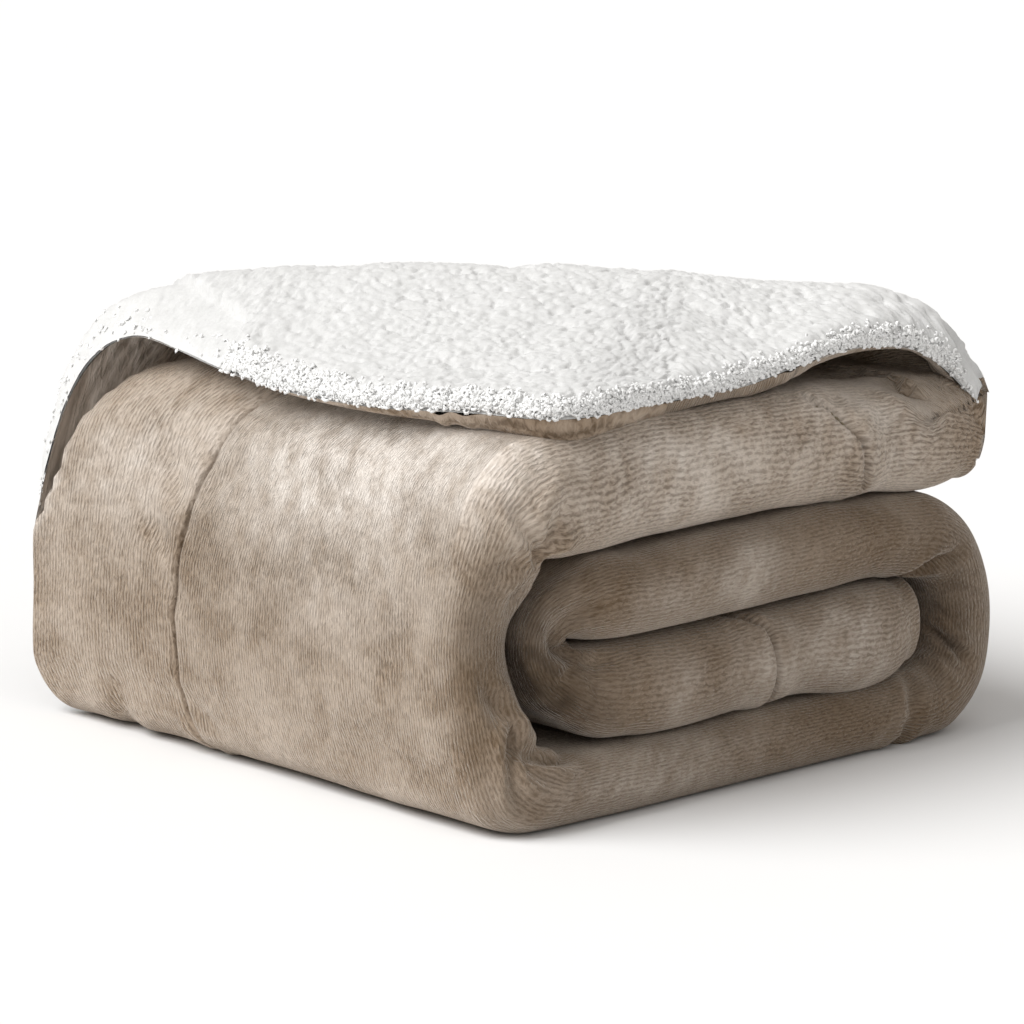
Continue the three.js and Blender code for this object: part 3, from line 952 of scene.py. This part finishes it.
print("sherpa cloth", len(quads) * 2, "triangles")

# Loose curls of wool along the sherpa's hems.
curlSettings = {
    "perPiece": 4200,
    "rings": 5,
    "radius": 1.6,          # of one curl's bend
    "thick": 0.75,
    "lift": 0.9,
    "sink": 1.2,
}


def tubesObject(name, paths, radii, ups, sides, material):
    # many short closed tubes in one mesh: paths and radii have a row for each tube
    count, rings = radii.shape
    run = unit(np.gradient(paths, axis=1))
    one = unit(np.cross(run, ups[:, None] + 0.01))
    two = np.cross(run, one)
    turns = 2 * math.pi * np.arange(sides) / sides
    around = [paths + (one * math.cos(turn) + two * math.sin(turn)) * radii[..., None] for turn in turns]
    points = np.stack(around, 2).reshape(-1, 3)               # tube, ring, corner
    first = np.arange(count)[:, None, None] * rings * sides
    ring = np.arange(rings - 1)[None, :, None] * sides
    k = np.arange(sides)[None, None, :]
    nextK = (k + 1) % sides
    quads = np.stack([first + ring + k, first + ring + nextK, first + ring + sides + nextK,
                      first + ring + sides + k], -1).reshape(-1, 4)
    starts = first.reshape(-1, 1) + np.arange(sides)[None, ::-1]
    ends = first.reshape(-1, 1) + (rings - 1) * sides + np.arange(sides)[None, :]
    caps = np.concatenate([starts, ends])
    sizes = np.concatenate([np.full(len(quads), 4), np.full(len(caps), sides)])
    tubes = meshObject(name, points, np.concatenate([quads.reshape(-1), caps.reshape(-1)]), sizes, material)
    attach(tubes, "root")
    print(name, len(quads) * 2 + len(caps) * (sides - 2), "triangles")
    return tubes


def scatterCurls(name, grid, outward, weight, seed):
    # curls rooted on a grid of points, thickest where the weight is greatest
    rng = np.random.default_rng(seed)
    count, rings = curlSettings["perPiece"], curlSettings["rings"]
    a, b, c, d = grid[:-1, :-1], grid[1:, :-1], grid[1:, 1:], grid[:-1, 1:]
    area = np.linalg.norm(np.cross(c - a, d - b), axis=-1) / 2
    chance = (area * weight[:-1, :-1]).reshape(-1)
    i, j = np.unravel_index(rng.choice(chance.size, count, p=chance / chance.sum()), area.shape)
    fu, fv = rng.random((2, count, 1))
    root = (a[i, j] * (1 - fu) * (1 - fv) + b[i, j] * fu * (1 - fv) + c[i, j] * fu * fv
            + d[i, j] * (1 - fu) * fv)
    up = np.cross((c - a)[i, j], (d - b)[i, j])
    up = unit(up * np.sign(np.sum(up * outward[i, j], axis=1, keepdims=True)))
    ahead = unit(np.cross(up, rng.normal(size=(count, 3))))
    aside = np.cross(up, ahead)
    t = np.linspace(0, 1, rings)[None, :]
    size = rng.uniform(0.7, 1.3, (count, 1))
    angle = rng.uniform(2.0, 4.0, (count, 1)) * rng.choice([-1, 1], (count, 1)) * t
    bend = curlSettings["radius"] * size * (1 - 0.35 * t)
    rise = (curlSettings["lift"] * rng.uniform(0.4, 1.5, (count, 1)) * np.sin(t * math.pi * 0.75)
            - curlSettings["sink"] * (1 - t) * 0.6)
    path = (root[:, None] + (bend * np.sin(angle))[..., None] * ahead[:, None]
            + (bend * (1 - np.cos(angle)))[..., None] * aside[:, None] + rise[..., None] * up[:, None])
    radii = curlSettings["thick"] * size * (0.55 + 0.6 * np.sin(math.pi * (0.15 + 0.8 * t)))
    radii[:, -1] *= 0.4
    return tubesObject(name, path, radii, up, 3, lightenedCurlFinish)



def woolPiece(name, points, kept):
    piece, quads = sheetObject(name, points, False, sherpaFinish, kept)
    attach(piece, "root")
    print(name, len(quads) * 2, "triangles")
    return piece


# The turned corner's wool, fine enough for each curl to be a rounded lump.
u = spread((0, 60, 0.7), (60, layerEnds[2] + 20, sherpaGrid["pileStep"]))
s = spread((topRows, 1030, sherpaGrid["pileStep"]), (1030, 1125, 0.65),
           (1125, stripLength, sherpaGrid["pileStep"]))
pileU, pileS = np.meshgrid(u, s)
base, side, pileBehind = place(pileU, pileS)
rounding, nearHem = edgeRound(pileU, pileS)
archHem = archHemAt(pileU, pileS)
height = woolHeight(woolPlaces(pileU, pileS), nearHem, base)
borderAway = np.minimum(np.abs(pileU - 102), np.abs(pileS - stripLength + 104))
height -= sherpaGrid["borderDip"] * np.exp(-(borderAway / 9) ** 2)
height *= np.maximum(rounding, 0.12) ** 0.6 * np.where(archHem, 0.5, 1)
points = base - side * height[..., None]
sherpaPile = woolPiece("sherpa_pile", points, pileBehind > 3)
hemWeight = np.exp(-(nearHem / 2.6) ** 2) * np.where(archHem, 0.1, 1) * (pileBehind > 3)
hemWeight *= np.where(pileS < 1110, 0.25, 1)        # fewer down the roll's left side
hemCurls = scatterCurls("sherpa_curls_hem", points, -side, hemWeight, 21)

# And the wool left open behind it.
u = spread((layerEnds[6] - 8, clothWidth, 1.35))
s = spread((topRows, stripLength, 1.35))
openU, openS = np.meshgrid(u, s)
base, side, _ = place(openU, openS)
rounding, nearHem = edgeRound(openU, openS)
along, towards = flapAxes(base[..., 0], unrolled(openS))
isOpen = (towards < footAt(along) + 12) & (unrolled(openS) > -185)
height = woolHeight(np.stack([openU, openS], -1), nearHem, base) * np.maximum(rounding, 0.12) ** 0.6
points = base - side * height[..., None]
openPile = woolPiece("sherpa_pile_open", points, isOpen)
openCurls = scatterCurls("sherpa_curls_open", points, -side, np.exp(-(nearHem / 2.6) ** 2) * isOpen, 23)

# Stitches down in the border seams.
stitchSettings = {
    "step": 4.3,
    "length": 3.3,
    "thick": 0.6,
    "above": 2.0,           # how far they lie above the bottom of the groove
    "hemClear": 12,         # they stop this far from a hem
    "dark": (0.13, 0.105, 0.06, 1),
    "light": (0.30, 0.25, 0.17, 1),
}


def threadMaterial():
    look = Finish("oliveThread")
    coordinate = look.node("ShaderNodeTexCoord", {}, output=3)
    strands = look.node("ShaderNodeTexNoise", {}, Vector=coordinate, Scale=1500.0, Detail=2.0)
    colour = look.mix(strands, stitchSettings["dark"], stitchSettings["light"])
    return look.finish(look.node("ShaderNodeBsdfPrincipled", {}, BaseColor=colour, Roughness=0.7))


def makeStitches(name, runs):
    paths, ups = [], []
    shape = np.array([-0.5, -0.38, 0.0, 0.38, 0.5])
    clear = stitchSettings["hemClear"]
    deep = rollSettings["clothGap"] / 2 + rollSettings["plushThick"] - plushGrid["grooveDepth"]
    for u, s in runs:
        base, side, _ = place(u, s)
        line = base + side * (deep + stitchSettings["above"])
        arc = np.concatenate([[0], np.cumsum(np.linalg.norm(np.diff(line, axis=0), axis=1))])
        for middle in np.arange(clear, arc[-1] - clear, stitchSettings["step"]):
            places = middle + shape * stitchSettings["length"]
            path = np.stack([np.interp(places, arc, line[:, k]) for k in range(3)], -1)
            up = np.array([np.interp(middle, arc, side[:, k]) for k in range(3)])
            up /= np.linalg.norm(up)
            paths.append(path - up * (0.9 * np.abs(shape * 2) ** 3)[:, None])
            ups.append(up)
    radii = np.tile(stitchSettings["thick"] * np.array([0.35, 0.9, 1.0, 0.9, 0.35]), (len(paths), 1))
    return tubesObject(name, np.array(paths), radii, np.array(ups), 5, threadMaterial())


alongStrip = np.linspace(0, stripLength, 4000)
acrossStrip = np.linspace(0, layerEnds[2] + 60, 1500)
stitches = makeStitches("border_stitches", [
    (np.full(4000, seamAt), alongStrip),
    (acrossStrip, stripLength - np.interp(acrossStrip, crossSeams[:, 0], crossSeams[:, 1])),
    (acrossStrip, np.interp(acrossStrip, crossSeams[:, 0], crossSeams[:, 2])),
])

# Floor, light and camera.
studio = {
    "azimuth": 47.74,
    "elevation": 12.8,
    "distance": 3.2125,
    "lens": 220.0,
    "aimRight": 0.0019,
    "aimHeight": 0.1092,
    "floorTone": (0.84, 0.84, 0.84, 1),
    "skyColour": (1, 0.965, 0.925, 1),
    "skyStrength": 0.38,
    "suns": {
        "key": {"source": (-0.5, -0.95, 1.15), "strength": 3.2, "softness": 46},
        "fill": {"source": (1.0, -0.4, 1.1), "strength": 0.5, "softness": 60},
    },
}


def makeFloor():
    look = Finish("paleFloor")
    shader = look.node("ShaderNodeBsdfPrincipled", {}, BaseColor=studio["floorTone"], Roughness=0.9,
                       SpecularIORLevel=0.1)
    bpy.ops.mesh.primitive_plane_add(size=30)
    floor = bpy.context.object
    floor.name = "floor"
    floor.data.materials.append(look.finish(shader))


def makeSun(name, source, strength, softness):
    lamp = bpy.data.lights.new(name, "SUN")
    lamp.energy, lamp.angle = strength, math.radians(softness)
    holder = bpy.data.objects.new(name, lamp)
    holder.rotation_euler = (-Vector(source)).to_track_quat("-Z", "Y").to_euler()
    bpy.context.scene.collection.objects.link(holder)


def makeSky():
    world = bpy.data.worlds.new("studioWorld")
    world.use_nodes = True
    background = world.node_tree.nodes["Background"]
    background.inputs["Color"].default_value = studio["skyColour"]
    background.inputs["Strength"].default_value = studio["skyStrength"]
    bpy.context.scene.world = world


def makeCamera():
    azimuth, elevation = math.radians(studio["azimuth"]), math.radians(studio["elevation"])
    right = Vector((math.cos(azimuth), math.sin(azimuth), 0))
    forward = Vector((-math.sin(azimuth) * math.cos(elevation), math.cos(azimuth) * math.cos(elevation),
                      -math.sin(elevation)))
    aim = right * studio["aimRight"] + Vector((0, 0, studio["aimHeight"])) + Vector(centre * mm)
    lens = bpy.data.cameras.new("photoCamera")
    lens.lens, lens.sensor_width, lens.clip_end = studio["lens"], 36, 60
    camera = bpy.data.objects.new("photoCamera", lens)
    turn = Matrix((right, right.cross(forward), -forward)).transposed().to_4x4()
    turn.translation = aim - forward * studio["distance"]
    camera.matrix_world = turn
    bpy.context.scene.collection.objects.link(camera)
    bpy.context.scene.camera = camera


makeFloor()
for name, sun in studio["suns"].items():
    makeSun(name, **sun)
makeSky()
bpy.context.scene.view_settings.view_transform = "Standard"
makeCamera()
print("floor, light and camera ready")

print("all pieces in place")
